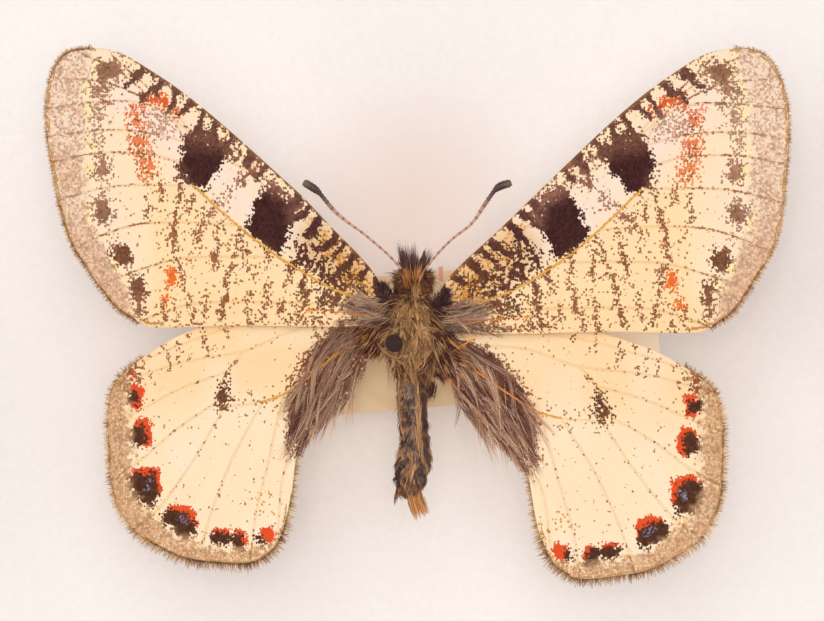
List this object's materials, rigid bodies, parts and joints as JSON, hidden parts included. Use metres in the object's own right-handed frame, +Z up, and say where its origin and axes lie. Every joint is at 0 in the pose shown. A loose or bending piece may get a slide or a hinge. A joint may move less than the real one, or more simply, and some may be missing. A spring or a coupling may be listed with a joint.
{
  "type": "pinned false apollo butterfly specimen",
  "caption": "Set butterfly specimen with spread spotted wings, held on an upright pin above a plain card and standing in a flat foam base.",
  "frame": {"origin": "middle of the underside of the foam base, on the surface it stands on", "axes": "+X towards the right wings, +Y towards the head, +Z up along the pin"},
  "size_m": [0.072, 0.056, 0.0394],
  "materials": {
    "foam": "fine closed-cell foam",
    "pin_steel": "black enamelled steel",
    "card": "aged tan card, bare",
    "body_hair": "long golden-olive and dark brown hair",
    "cuticle": "slate-dark insect cuticle with scales",
    "eye": "dark faceted eye",
    "antenna": "ringed tan shaft, dark club",
    "forewing": "cream scales with dark brown and orange marks",
    "hindwing": "cream scales with black and orange-red eyespots"
  },
  "bodies": {
    "root": {"stand_base": "foam", "pin": "pin_steel", "label_card": "card", "head": "body_hair", "thorax": "body_hair", "abdomen": "cuticle", "eye_left": "eye", "eye_right": "eye", "antenna_left": "antenna", "antenna_right": "antenna", "palp_left": "body_hair", "palp_right": "body_hair", "proboscis": "cuticle", "leg_fore_left": "cuticle", "leg_fore_right": "cuticle", "leg_mid_left": "cuticle", "leg_mid_right": "cuticle", "leg_hind_left": "cuticle", "leg_hind_right": "cuticle", "forewing_left": "forewing", "forewing_right": "forewing", "hindwing_left": "hindwing", "hindwing_right": "hindwing"}
  },
  "joints": []
}
